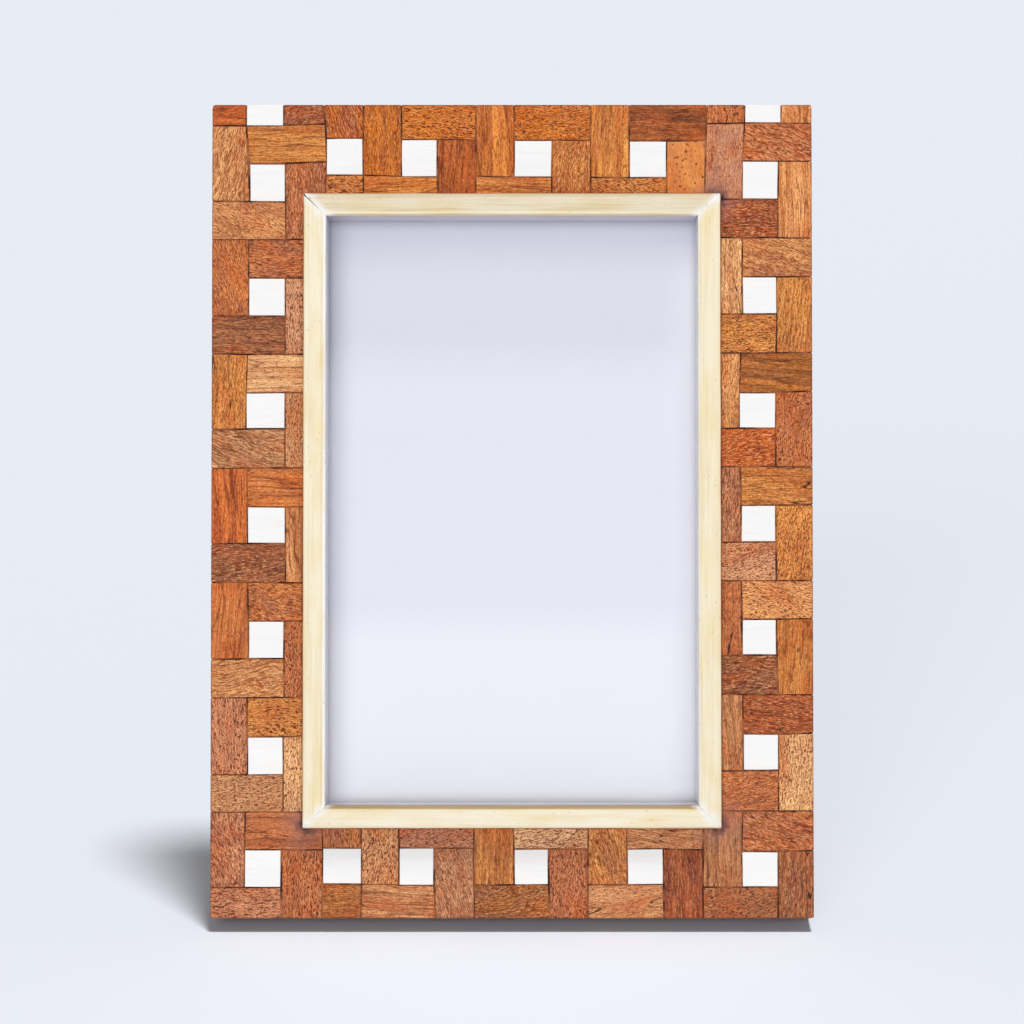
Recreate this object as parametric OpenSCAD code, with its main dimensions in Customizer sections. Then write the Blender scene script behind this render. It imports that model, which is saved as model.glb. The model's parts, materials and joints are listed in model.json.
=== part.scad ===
// Parquet picture frame that leans back on an easel leg.
// Panel coordinates: X to the right, Z up along the face, Y back from the tile faces.
// stand() then leans the panel back, so that its rear bottom edge and the leg meet the table.

/* [Print and window] */
// Width of the print that the frame holds
print_w = 101.6; // [85:0.1:130]
// Height of the print
print_h = 152.4; // [130:0.1:180]
// Room round the print in the rebate, on each side
print_gap = 0.7; // [0.4:0.1:1.2]
// How far the trim laps over the left and right edges of the print
side_lap = 4.6; // [3:0.1:6]
// How far the trim laps over the top and bottom edges of the print
end_lap = 3; // [2:0.1:5]

/* [Border] */
// Width of the parquet band at each side of the trim
side_band = 23; // [20:0.1:25]
// Height of the parquet band above and below the trim
end_band = 22.5; // [20:0.1:25]
// Depth of the frame from the tile faces to the back
frame_t = 15; // [14:0.5:22]
// Radius of the frame's outer corners
corner_r = 1; // [0.6:0.1:1.4]
// Thickness of the wood edging on the outer sides
edging_t = 1.5; // [1.5:0.1:3]

/* [Parquet] */
// Thickness of the tiles
tile_t = 2; // [1.5:0.1:3]
// Length of a white square along its strip, eased a little so that whole blocks fill the strip.
// A pinwheel block is three of them long.
block_third = 9.5; // [8.5:0.1:11]
// Widths of the left strip's tile rows, from the outer edge inwards
left_rows = [9, 9.4, 9.6]; // [8.5:0.1:11]
// Widths of the right strip's tile rows, from the outer edge inwards
right_rows = [8.6, 8.8, 9.4]; // [8.5:0.1:11]
// Widths of the top strip's tile rows, from the outer edge inwards
top_rows = [8.9, 9.2, 9.4]; // [8.5:0.1:11]
// Widths of the bottom strip's tile rows, from the outer edge inwards
bottom_rows = [8.6, 9.1, 9.4]; // [8.5:0.1:11]
// Height of the short row of tiles that starts the left strip at the top
left_head = 5.3; // [3:0.1:9]
// Height of the short row of tiles that starts the right strip at the top
right_head = 4.7; // [3:0.1:9]
// Length of the row of tiles that starts the top and bottom strips at the left
end_head = 9.7; // [6:0.1:12]
// Length cut off the left strip's last block at the bottom
left_tail = 1.8; // [0:0.1:6]
// Length cut off the right strip's last block at the bottom
right_tail = 1.2; // [0:0.1:6]
// Width of the dark filler line between tiles
line_w = 0.35; // [0.2:0.05:0.6]
// Depth of the filler line below the tile faces
line_sink = 0.15; // [0.05:0.05:0.4]

/* [Metal trim] */
// Width of the trim's face
trim_w = 5.8; // [5:0.1:8]
// Height of the trim's face above the tiles
trim_proud = 2.8; // [2:0.1:4]
// Thickness of the folded brass sheet
sheet_t = 0.6; // [0.4:0.1:0.8]
// Outer radius of the trim's two folds
fold_r = 0.8; // [0.8:0.1:1.4]
// Gap left at each mitre for solder
mitre_gap = 0.12; // [0.05:0.01:0.3]

/* [Filling] */
// Thickness of the glass
glass_t = 2; // [1.5:0.1:3]
// Thickness of the card
card_t = 0.4; // [0.2:0.1:0.8]
// Thickness of the board behind the card
board_t = 2.6; // [2:0.1:4]
// Thickness of the back panel
panel_t = 3; // [2.5:0.1:4]
// Room round the glass, the board and the panel in the rebate, on each side
pane_gap = 0.3; // [0.2:0.1:0.6]

/* [Corner nails] */
// Length of each leg of the V-shaped corner nails
nail_leg = 5; // [4:0.5:6]
// Thickness of the corner nails
nail_t = 0.5; // [0.4:0.1:0.8]
// Depth that the corner nails are driven in
nail_depth = 6; // [4:0.5:7]

/* [Easel leg] */
// Angle that the face leans back from upright
lean = 14; // [12:0.5:18]
// Angle of the open leg from upright
rake = 13; // [10:0.5:14]
// Distance of the hinge pin below the top of the frame
hinge_drop = 78; // [68:1:93]
// Thickness of the leg
leg_t = 3; // [2.6:0.1:4]
// Width of the leg at its top
leg_top_w = 30; // [28:1:36]
// Width of the leg at its foot
leg_foot_w = 46; // [38:1:60]
// Gap between the folded leg and the back panel
fold_gap = 0.4; // [0.3:0.1:1]

/* [Hinge] */
// Width of both hinge leaves
leaf_w = 26; // [24:1:28]
// Reach of each leaf from the pin
leaf_h = 16; // [14:0.5:20]
// Thickness of the hinge leaves
leaf_t = 0.8; // [0.6:0.1:1]
// Length of the leg leaf's knuckle
knuckle_len = 12; // [11:0.5:14]
// Radius of the hinge pin
pin_r = 0.9; // [0.7:0.05:1]
// Running clearance of the pin in the leg leaf's knuckle
pin_gap = 0.05; // [0.03:0.01:0.1]
// Gap between neighbouring knuckles, and under them
knuckle_gap = 0.2; // [0.15:0.05:0.4]
// Width of the stop tongue that ends the leg's travel
tongue_w = 8; // [5:0.5:9]
// Gap between the stop tongue and the fixed leaf with the leg open
stop_gap = 0.05; // [0.03:0.01:0.2]
// Distance of the rivets from the pin, along the leaf
rivet_reach = 11; // [10:0.5:12]
// Distance between the two rivets of a leaf
rivet_span = 16; // [15:0.5:18]
// Radius of the rivets
rivet_r = 1.2; // [0.8:0.1:1.5]
// Radius of the rivets' round heads
rivet_head_r = 2.1; // [1.8:0.1:2.4]
// Height of the rivets' round heads
rivet_head_h = 0.9; // [0.6:0.1:1.2]

/* [Turn buttons] */
// Distance of each button's screw from the rebate
button_inset = 9; // [8:0.5:10]
// Distance of each button's screw from the nearer end of the rebate
button_end = 36; // [25:1:60]
// Reach of a button from its screw to its tip
button_reach = 13.5; // [12:0.5:14]
// Radius of a button round its screw
button_r = 4.2; // [3.6:0.1:5]
// Radius of a button's tip
button_tip_r = 2.8; // [2:0.1:3.4]
// Thickness of the buttons
button_t = 1; // [0.8:0.1:1.5]
// Gap below and above a button
button_gap = 0.1; // [0.05:0.05:0.3]
// Radius of the screws
screw_r = 1.5; // [1.2:0.1:1.8]
// Running clearance of a button round its screw
screw_gap = 0.08; // [0.04:0.01:0.1]
// Length of the screws in the wood
screw_len = 8; // [6:0.5:9]
// Radius of the screw heads
screw_head_r = 2.8; // [2.4:0.1:3.4]
// Height of the screw heads
screw_head_h = 1.4; // [1:0.1:2]

/* [Hidden] */
SIDES = ["left", "right", "top", "bottom"];
WOODS = ["honey_tiles", "russet_tiles", "umber_tiles", "white_squares"];
CORNERS = ["upper_left", "upper_right", "lower_left", "lower_right"];
FAMILIES = ["core_rail", "wood_edging", "tile_filler", "brass_trim", "trim_fillet"];
$fn = 48;

// Wood of each tile, chosen by eye, block by block away from the head of the strip.
// Letters: h honey, r russet, u umber. A head names its two tiles either side of the white one,
// a block its left, upper, right and lower tile.
LEFT_HEAD = "ur";
LEFT_WOOD = ["rhrh", "rrru", "rhhr", "rrhu", "hrrh", "rhhh", "ruru"];
RIGHT_HEAD = "rh";
RIGHT_WOOD = ["rrhu", "hhrh", "rurr", "uhhh", "uhhu", "huhr", "hrur"];
TOP_HEAD = "rr";
TOP_WOOD = ["hhrr", "hhhr", "huhr"];
BOTTOM_HEAD = "hr";
BOTTOM_WOOD = ["hrrh", "rhru", "rruh"];
least_tile = 0.9;

brass = [0.93, 0.87, 0.68];
steel = [0.78, 0.76, 0.7];
dark_wood = [0.36, 0.2, 0.12];

sight_w = print_w - 2 * side_lap;
sight_h = print_h - 2 * end_lap;
frame_w = sight_w + 2 * (trim_w + side_band);
frame_h = sight_h + 2 * (trim_w + end_band);
hinge_h = frame_h - hinge_drop;
trim_out_w = sight_w + 2 * trim_w;
trim_out_h = sight_h + 2 * trim_w;
core_w = frame_w - 2 * edging_t;
core_h = frame_h - 2 * edging_t;
mouth_w = sight_w + 2 * sheet_t;
mouth_h = sight_h + 2 * sheet_t;
rebate_w = print_w + 2 * print_gap;
rebate_h = print_h + 2 * print_gap;
pane_w = rebate_w - 2 * pane_gap;
pane_h = rebate_h - 2 * pane_gap;
mid_h = frame_h / 2;

// Depths of the layers, from the tile faces back
panel_y = frame_t - panel_t;
board_y = panel_y - board_t;
card_y = board_y - card_t;
glass_y = card_y - glass_t;

// The hinge, seen along its pin. The leg leaf lies on the leg's rear face, just inside the
// knuckle's outer face, so the knuckle's radius follows from what lies between it and the panel.
leaf_step = 0.1;
knuckle_r = (leg_t + fold_gap + leaf_t + leaf_step - knuckle_gap) / 2;
knuckle_clear = 0.4;
pin_y = frame_t + knuckle_gap + knuckle_r;
leaf_in = knuckle_r - leaf_step - leaf_t;
spread = lean + rake;
tongue_h = (leaf_in * cos(spread) + pin_y - frame_t - leaf_t - stop_gap) / sin(spread);
neck_drop = knuckle_r + knuckle_clear;
rivet_tail_r = rivet_r + 0.6;
rivet_tail_t = 0.8;
pin_head_r = pin_r + 0.4;
pin_head_t = 0.5;

// Where the pin and the foot lie once the panel leans back
pin_back = pin_y * cos(lean) + hinge_h * sin(lean);
pin_up = (frame_t - pin_y) * sin(lean) + hinge_h * cos(lean);
leg_len = (pin_up + leaf_in * sin(rake)) / cos(rake);
depth = pin_back + leaf_in * cos(rake) + leg_len * sin(rake);

button_y = frame_t + button_gap;
head_y = button_y + button_t + button_gap;
button_x = rebate_w / 2 + button_inset;
button_z = rebate_h / 2 - button_end;

// Lines across each strip of parquet, in rising order
left_x = [for (w = [0, left_rows[0], left_rows[0] + left_rows[1], sum3(left_rows)]) w - frame_w / 2];
right_x = [for (w = [sum3(right_rows), right_rows[0] + right_rows[1], right_rows[0], 0]) frame_w / 2 - w];
top_z = [for (w = [sum3(top_rows), top_rows[0] + top_rows[1], top_rows[0], 0]) frame_h - w];
bottom_z = [0, bottom_rows[0], bottom_rows[0] + bottom_rows[1], sum3(bottom_rows)];

function sum3(v) = v[0] + v[1] + v[2];

// Whole blocks fill a run of a strip, each a little longer or shorter than the named length.
// The list of woods is read from the far end, where it ends with its last block.
function block_count(run) = round(run / (3 * block_third));
function thirds(start, block_len) = [for (i = [0:3]) start + i * block_len / 3];
function block_wood(wood, k, count) = wood[len(wood) - 1 - (count - 1 - k) % len(wood)];

// A pinwheel block: four tiles of one by two thirds turn round a white square.
// A tile is [x0, z0, x1, z1, wood].
function block(x, z, wood) = [
    [x[0], z[1], x[1], z[3], wood[0]],
    [x[1], z[2], x[3], z[3], wood[1]],
    [x[2], z[0], x[3], z[2], wood[2]],
    [x[0], z[0], x[2], z[1], wood[3]],
    [x[1], z[1], x[2], z[2], "w"]];

function side_strip(x, head, tail, ends, wood) =
    let (top = frame_h - head, run = top + tail, count = block_count(run), block_len = run / count)
    concat(
        [for (i = [0:2]) [x[i], top, x[i + 1], frame_h, [ends[0], "w", ends[1]][i]]],
        [for (k = [0:count - 1])
            each block(x, thirds(top - (k + 1) * block_len, block_len), block_wood(wood, k, count))]);

function end_strip(z, ends, wood) =
    let (start = left_x[3] + end_head, run = right_x[0] - start)
    let (count = block_count(run), block_len = run / count)
    concat(
        [for (i = [0:2]) [left_x[3], z[i], start, z[i + 1], [ends[0], "w", ends[1]][i]]],
        [for (k = [0:count - 1])
            each block(thirds(start + k * block_len, block_len), z, block_wood(wood, k, count))]);

// A tile stops half a line short of its neighbours, but is flush with the frame's outer edge
function clipped(t) = [
    t[0] <= -frame_w / 2 ? -frame_w / 2 : t[0] + line_w / 2,
    t[1] <= 0 ? 0 : t[1] + line_w / 2,
    t[2] >= frame_w / 2 ? frame_w / 2 : t[2] - line_w / 2,
    t[3] >= frame_h ? frame_h : t[3] - line_w / 2,
    t[4]];
trim_side = trim_out_w / 2 + line_w / 2;
trim_low = mid_h - trim_out_h / 2 - line_w / 2;
trim_high = mid_h + trim_out_h / 2 + line_w / 2;
function beside_trim(t) = t[0] < -trim_side || t[2] > trim_side || t[1] < trim_low || t[3] > trim_high;
function shown(t) = t[2] - t[0] > least_tile && t[3] - t[1] > least_tile && beside_trim(t);

function whole_strip(side) =
    side == "left" ? side_strip(left_x, left_head, left_tail, LEFT_HEAD, LEFT_WOOD)
    : side == "right" ? side_strip(right_x, right_head, right_tail, RIGHT_HEAD, RIGHT_WOOD)
    : side == "top" ? end_strip(top_z, TOP_HEAD, TOP_WOOD)
    : end_strip(bottom_z, BOTTOM_HEAD, BOTTOM_WOOD);
function strip(side) = [for (t = whole_strip(side)) let (c = clipped(t)) if (shown(c)) c];

function arc(x, z, r, from, to, steps = 6) =
    [for (i = [0:steps]) let (a = from + (to - from) * i / steps) [x + r * cos(a), z + r * sin(a)]];
function round_rect(w, h, r) = concat(
    arc(w / 2 - r, h / 2 - r, r, 0, 90), arc(r - w / 2, h / 2 - r, r, 90, 180),
    arc(r - w / 2, r - h / 2, r, 180, 270), arc(w / 2 - r, r - h / 2, r, 270, 360));

// Places and simple forms

module stand() {
    translate([0, -depth / 2, frame_t * sin(lean)]) rotate([-lean, 0, 0]) children();
}

module opened() {
    translate([0, pin_y, hinge_h]) rotate([spread, 0, 0]) children();
}

module slab(y0, y1) {
    translate([0, y1, 0]) rotate([90, 0, 0]) linear_extrude(y1 - y0) children();
}

module rod_y(r, y0, y1) {
    translate([0, y1, 0]) rotate([90, 0, 0]) cylinder(r = r, h = y1 - y0);
}

module rod_x(r, x0, x1) {
    translate([x0, 0, 0]) rotate([0, 90, 0]) cylinder(r = r, h = x1 - x0);
}

module centred(w, h) {
    translate([-w / 2, mid_h - h / 2]) square([w, h]);
}

// A cap cut from a ball, standing on the plane y
module dome(r, h, y) {
    ball_r = (r * r + h * h) / (2 * h);
    intersection() {
        translate([0, y + h - ball_r, 0]) sphere(ball_r);
        rod_y(2 * r, y, y + 2 * h);
    }
}

// One side's part of a ring between an outer and an inner rectangle, cut along its mitres
module mitred(side, out_w, out_h, in_w, in_h) {
    a = [-out_w / 2, mid_h - out_h / 2];
    b = [-in_w / 2, mid_h - in_h / 2];
    c = [out_w / 2, mid_h + out_h / 2];
    d = [in_w / 2, mid_h + in_h / 2];
    polygon(side == "left" ? [a, b, [b[0], d[1]], [a[0], c[1]]]
        : side == "right" ? [[c[0], a[1]], c, d, [d[0], b[1]]]
        : side == "top" ? [[a[0], c[1]], [b[0], d[1]], d, c]
        : [a, [c[0], a[1]], [d[0], b[1]], b]);
}

module at_buttons() {
    for (x = [-1, 1], z = [-1, 1]) translate([x * button_x, 0, mid_h + z * button_z]) children();
}

module at_rivets(z) {
    for (x = [-1, 1]) translate([x * rivet_span / 2, 0, z]) children();
}

// Core, edging and corner nails

// V outline in the mitre's own axes, its point towards the frame's outer corner
module nail_2d() {
    for (turn = [-40, 40]) rotate(turn) translate([0, -nail_t / 2]) square([nail_leg, nail_t]);
    circle(nail_t / 2);
}

module at_mitres() {
    run = [(frame_w - mouth_w) / 2, (frame_h - mouth_h) / 2];
    place = 0.36;
    for (x = [-1, 1], z = [-1, 1])
        translate([x * (frame_w / 2 - run[0] * place), mid_h + z * (frame_h / 2 - run[1] * place)])
            rotate(atan2(-z * run[1], -x * run[0])) children();
}

module nails_at(y0, y1) {
    slab(y0, y1) at_mitres() nail_2d();
}

module core_rail(side) {
    color([0.72, 0.56, 0.38]) stand() difference() {
        slab(tile_t, frame_t) intersection() {
            difference() {
                centred(core_w, core_h);
                centred(mouth_w, mouth_h);
            }
            mitred(side, frame_w, frame_h, mouth_w, mouth_h);
        }
        slab(glass_y, frame_t + 1) centred(rebate_w, rebate_h);
        nails_at(frame_t - nail_depth, frame_t + 1);
        if (side == "left" || side == "right")
            at_buttons() rod_y(screw_r, frame_t - screw_len, frame_t + 1);
    }
}

module corner_nails() {
    color(steel) stand() nails_at(frame_t - nail_depth, frame_t);
}

module frame_outline() {
    translate([0, mid_h]) polygon(round_rect(frame_w, frame_h, corner_r));
}

// The top and bottom pieces run the full width, and the side pieces stand between them
module wood_edging(side) {
    color(dark_wood) stand() slab(tile_t, frame_t) {
        if (side == "left" || side == "right")
            translate([side == "left" ? -frame_w / 2 : frame_w / 2 - edging_t, edging_t])
                square([edging_t, core_h]);
        else intersection() {
            frame_outline();
            translate([-frame_w / 2, side == "bottom" ? 0 : frame_h - edging_t])
                square([frame_w, edging_t]);
        }
    }
}

// Parquet

function near_corner(t) = (t[0] <= -frame_w / 2 || t[2] >= frame_w / 2) && (t[1] <= 0 || t[3] >= frame_h);
function meets_trim(t) = t[0] < trim_side && t[2] > -trim_side && t[1] < trim_high && t[3] > trim_low;

module tile_2d(t) {
    difference() {
        if (near_corner(t)) intersection() {
            frame_outline();
            translate([t[0], t[1]]) square([t[2] - t[0], t[3] - t[1]]);
        }
        else translate([t[0], t[1]]) square([t[2] - t[0], t[3] - t[1]]);
        if (meets_trim(t)) centred(2 * trim_side, trim_high - trim_low);
    }
}

module tiles(side, letter, tint) {
    color(tint) stand() for (t = strip(side)) if (t[4] == letter) slab(0, tile_t) tile_2d(t);
}

module honey_tiles(side) tiles(side, "h", [0.85, 0.58, 0.36]);
module russet_tiles(side) tiles(side, "r", [0.72, 0.42, 0.26]);
module umber_tiles(side) tiles(side, "u", [0.55, 0.29, 0.17]);
module white_squares(side) tiles(side, "w", [0.94, 0.93, 0.92]);

module strip_2d(side) {
    x0 = side == "left" ? -frame_w / 2 : side == "right" ? right_x[0] : left_x[3];
    x1 = side == "left" ? left_x[3] : side == "right" ? frame_w / 2 : right_x[0];
    z0 = side == "top" ? mid_h : 0;
    z1 = side == "bottom" ? mid_h : frame_h;
    difference() {
        intersection() {
            frame_outline();
            translate([x0, z0]) square([x1 - x0, z1 - z0]);
        }
        centred(trim_out_w, trim_out_h);
    }
}

module tile_filler(side) {
    color([0.2, 0.1, 0.06]) stand() slab(line_sink, tile_t) difference() {
        strip_2d(side);
        for (t = strip(side)) tile_2d(t);
    }
}

// Metal trim, folded over wood fillets

inner_fold_r = fold_r - sheet_t;
// Sections run out from the sight edge, [distance, depth]
trim_section = concat(
    arc(fold_r, fold_r - trim_proud, fold_r, 180, 270),
    arc(trim_w - fold_r, fold_r - trim_proud, fold_r, 270, 360),
    [[trim_w, tile_t], [trim_w - sheet_t, tile_t]],
    arc(trim_w - fold_r, fold_r - trim_proud, inner_fold_r, 360, 270),
    arc(fold_r, fold_r - trim_proud, inner_fold_r, 270, 180),
    [[sheet_t, glass_y], [0, glass_y]]);
fillet_section = concat(
    arc(fold_r, fold_r - trim_proud, inner_fold_r, 180, 270),
    arc(trim_w - fold_r, fold_r - trim_proud, inner_fold_r, 270, 360),
    [[trim_w - sheet_t, tile_t], [sheet_t, tile_t]]);

// A bar of the given section along one side of the window, mitred at both ends
module window_bar(side, section, gap) {
    upright = side == "left" || side == "right";
    across = upright ? sight_w : sight_h;
    along = upright ? sight_h : sight_w;
    turn = side == "left" ? 0 : side == "top" ? 90 : side == "right" ? 180 : 270;
    end_in = along / 2 - gap / sqrt(2);
    end_out = end_in + trim_w;
    translate([0, 0, mid_h]) rotate([0, turn, 0]) intersection() {
        translate([0, 0, -end_out]) linear_extrude(2 * end_out)
            polygon([for (p = section) [-across / 2 - p[0], p[1]]]);
        slab(-trim_proud - 1, glass_y + 1) polygon([
            [-across / 2, -end_in], [-across / 2, end_in],
            [-across / 2 - trim_w, end_out], [-across / 2 - trim_w, -end_out]]);
    }
}

module brass_trim(side) {
    color(brass) stand() window_bar(side, trim_section, mitre_gap);
}

module trim_fillet(side) {
    color([0.8, 0.66, 0.46]) stand() window_bar(side, fillet_section, 0);
}

// Filling

module glass_pane() {
    color([0.8, 0.88, 0.9, 0.4]) stand() slab(glass_y, card_y) centred(pane_w, pane_h);
}

module print_card() {
    color([0.95, 0.95, 0.97]) stand() slab(card_y, board_y) centred(print_w, print_h);
}

module backing_board() {
    color([0.62, 0.58, 0.52]) stand() slab(board_y, panel_y) centred(pane_w, pane_h);
}

module back_panel() {
    color([0.1, 0.1, 0.11]) stand() difference() {
        slab(panel_y, frame_t) centred(pane_w, pane_h);
        at_rivets(hinge_h + rivet_reach) {
            rod_y(rivet_r, panel_y - 1, frame_t + 1);
            rod_y(rivet_tail_r, panel_y - 1, panel_y + rivet_tail_t);
        }
    }
}

// Easel leg and hinge. The leg's own pieces are drawn about the pin, as they lie when folded.

module rivet(y0, y1) {
    rod_y(rivet_tail_r, y0, y0 + rivet_tail_t);
    rod_y(rivet_r, y0, y1 + rivet_head_h / 3);
    dome(rivet_head_r, rivet_head_h, y1);
}

// Half the leg's width at a distance below its top: straight at first, then flaring to the foot
function half_leg(s) = leg_top_w / 2 + (leg_foot_w - leg_top_w) / 2 * pow(s / leg_len, 2.2);
leg_corner_r = 4;
leg_steps = 14;
leg_blank_len = leg_len + leg_t;
leg_edge = [for (i = [0:leg_steps])
    let (s = leg_corner_r + (leg_blank_len - leg_corner_r) * i / leg_steps) [half_leg(s), -s]];

module leg_2d() {
    top = leg_top_w / 2 - leg_corner_r;
    translate([0, -neck_drop]) polygon(concat(
        arc(-top, -leg_corner_r, leg_corner_r, 180, 90),
        arc(top, -leg_corner_r, leg_corner_r, 90, 0),
        [for (p = leg_edge) [p[0], p[1]]],
        [for (i = [leg_steps:-1:0]) [-leg_edge[i][0], leg_edge[i][1]]]));
}

// The foot is cut level with the table
module easel_leg() {
    color([0.12, 0.12, 0.13]) difference() {
        stand() opened() difference() {
            slab(leaf_in - leg_t, leaf_in) leg_2d();
            at_rivets(-rivet_reach) {
                rod_y(rivet_r, leaf_in - leg_t - 1, leaf_in + 1);
                rod_y(rivet_tail_r, leaf_in - leg_t - 1, leaf_in - leg_t + rivet_tail_t);
            }
        }
        translate([-leg_foot_w, -depth, -20]) cube([2 * leg_foot_w, 3 * depth, 20]);
    }
}

module hinge_fixed_leaf() {
    notch = knuckle_len + 2 * knuckle_gap;
    color(steel) stand() translate([0, 0, hinge_h]) difference() {
        union() {
            slab(frame_t, frame_t + leaf_t) difference() {
                translate([0, leaf_h / 2]) polygon(round_rect(leaf_w, leaf_h, 1.5));
                translate([-leaf_w, -leaf_h]) square([2 * leaf_w, leaf_h]);
            }
            slab(frame_t, frame_t + leaf_t) translate([-leaf_w / 2, 0]) square([leaf_w, 2]);
            translate([0, pin_y, 0]) rod_x(knuckle_r, -leaf_w / 2, leaf_w / 2);
        }
        translate([-notch / 2, frame_t - 1, -knuckle_r - 1])
            cube([notch, 2 * knuckle_r + 2, knuckle_r + 1 + neck_drop]);
        translate([0, pin_y, 0]) rod_x(pin_r, -leaf_w, leaf_w);
        at_rivets(rivet_reach) rod_y(rivet_r, frame_t - 1, frame_t + leaf_t + 1);
    }
}

// The tongue beyond the knuckle meets the fixed leaf and stops the leg
module leg_leaf_2d() {
    translate([0, -neck_drop]) difference() {
        polygon(round_rect(leaf_w, 2 * (leaf_h - neck_drop), 1.5));
        translate([-leaf_w, 0]) square([2 * leaf_w, leaf_h]);
    }
    translate([-leaf_w / 2, -neck_drop - 2]) square([leaf_w, 2]);
    translate([-knuckle_len / 2, -neck_drop - 1]) square([knuckle_len, neck_drop + 1]);
    translate([-tongue_w / 2, -1]) square([tongue_w, tongue_h + 1]);
}

module hinge_leg_leaf() {
    color(steel) stand() opened() difference() {
        union() {
            slab(leaf_in, leaf_in + leaf_t) leg_leaf_2d();
            rod_x(knuckle_r, -knuckle_len / 2, knuckle_len / 2);
        }
        rod_x(pin_r + pin_gap, -leaf_w, leaf_w);
        at_rivets(-rivet_reach) rod_y(rivet_r, leaf_in - 1, leaf_in + leaf_t + 1);
    }
}

module hinge_pin() {
    color(steel) stand() translate([0, pin_y, hinge_h]) {
        rod_x(pin_r, -leaf_w / 2 - pin_head_t, leaf_w / 2 + pin_head_t);
        rod_x(pin_head_r, -leaf_w / 2 - pin_head_t, -leaf_w / 2);
        rod_x(pin_head_r, leaf_w / 2, leaf_w / 2 + pin_head_t);
    }
}

module hinge_panel_rivets() {
    color(brass) stand() at_rivets(hinge_h + rivet_reach) rivet(panel_y, frame_t + leaf_t);
}

module hinge_leg_rivets() {
    color(brass) stand() opened() at_rivets(-rivet_reach) rivet(leaf_in - leg_t, leaf_in + leaf_t);
}

// Turn buttons, drawn about their screw with the tip towards +X

// Half the angle between the two straight edges of a button
button_taper = asin((button_r - button_tip_r) / (button_reach - button_tip_r));
button_outline = concat(
    arc(0, 0, button_r, 90 - button_taper, 270 + button_taper, 16),
    arc(button_reach - button_tip_r, 0, button_tip_r, button_taper - 90, 90 - button_taper, 8));

module turn_button(corner) {
    x = corner == "upper_left" || corner == "lower_left" ? -1 : 1;
    z = corner == "upper_left" || corner == "upper_right" ? 1 : -1;
    color(steel) stand() translate([x * button_x, 0, mid_h + z * button_z])
        rotate([0, x < 0 ? 0 : 180, 0]) difference() {
            slab(button_y, button_y + button_t) polygon(button_outline);
            rod_y(screw_r + screw_gap, frame_t, head_y + 1);
        }
}

module turn_button_screws() {
    slot_w = screw_head_r / 4;
    color(steel) stand() at_buttons() difference() {
        union() {
            rod_y(screw_r, frame_t - screw_len, head_y + screw_head_h / 3);
            dome(screw_head_r, screw_head_h, head_y);
        }
        translate([-slot_w / 2, head_y + screw_head_h / 2, -screw_head_r])
            cube([slot_w, screw_head_h, 2 * screw_head_r]);
    }
}

for (side = SIDES) {
    core_rail(side);
    wood_edging(side);
    tile_filler(side);
    brass_trim(side);
    trim_fillet(side);
    honey_tiles(side);
    russet_tiles(side);
    umber_tiles(side);
    white_squares(side);
}
for (corner = CORNERS)
    turn_button(corner);
corner_nails();
glass_pane();
print_card();
backing_board();
back_panel();
easel_leg();
hinge_fixed_leaf();
hinge_leg_leaf();
hinge_pin();
hinge_panel_rivets();
hinge_leg_rivets();
turn_button_screws();
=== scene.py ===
import json
import math
import random

import bmesh
import bpy
from mathutils import Matrix, Vector, noise


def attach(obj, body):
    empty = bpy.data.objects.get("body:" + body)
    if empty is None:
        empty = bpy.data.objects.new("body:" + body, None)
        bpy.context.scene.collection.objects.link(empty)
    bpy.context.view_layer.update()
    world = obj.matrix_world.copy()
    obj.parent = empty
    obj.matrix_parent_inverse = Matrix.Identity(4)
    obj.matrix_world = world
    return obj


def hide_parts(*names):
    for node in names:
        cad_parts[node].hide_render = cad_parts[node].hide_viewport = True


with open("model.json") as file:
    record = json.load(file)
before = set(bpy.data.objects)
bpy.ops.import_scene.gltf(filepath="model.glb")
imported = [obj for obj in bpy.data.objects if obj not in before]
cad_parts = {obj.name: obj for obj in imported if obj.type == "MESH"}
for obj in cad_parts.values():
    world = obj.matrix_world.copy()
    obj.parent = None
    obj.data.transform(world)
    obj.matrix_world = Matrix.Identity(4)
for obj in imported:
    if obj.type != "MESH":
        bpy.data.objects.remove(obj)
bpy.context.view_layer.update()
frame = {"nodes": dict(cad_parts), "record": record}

mm = 0.001
inMm = 1000  # the finishes measure in mm
weldDistance = 1e-6
sides = ("left", "right", "top", "bottom")
uprights = ("left", "right")
nodeBody = {node: body for body, nodes in frame["record"]["behaviour"]["bodies"].items() for node in nodes}
print("frame loaded:", len(frame["nodes"]), "CAD nodes")


# The panel leans back, so its pieces are made in its own axes: x across, y back, z up the face

backAxis = Vector(next(m["axis"] for m in frame["record"]["mounts"] if m["name"] == "back_face")).normalized()
acrossAxis = Vector((1, 0, 0))
upAxis = acrossAxis.cross(backAxis)
lean = math.asin(-backAxis.z)


def span(node, measure):
    # Least and greatest of a measure over a CAD node's corners
    measured = [measure(v.co) for v in frame["nodes"][node].data.vertices]
    return min(measured), max(measured)


faceOffset = backAxis * span("white_squares_top", backAxis.dot)[0]
toWorld = Matrix.Translation(faceOffset + upAxis * span("wood_edging_bottom", upAxis.dot)[0])
toWorld @= Matrix((acrossAxis, backAxis, upAxis)).transposed().to_4x4()
toPanel = toWorld.inverted()


def panelSpan(node, axis):
    return span(node, lambda place: (toPanel @ place)["xyz".index(axis)])


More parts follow.
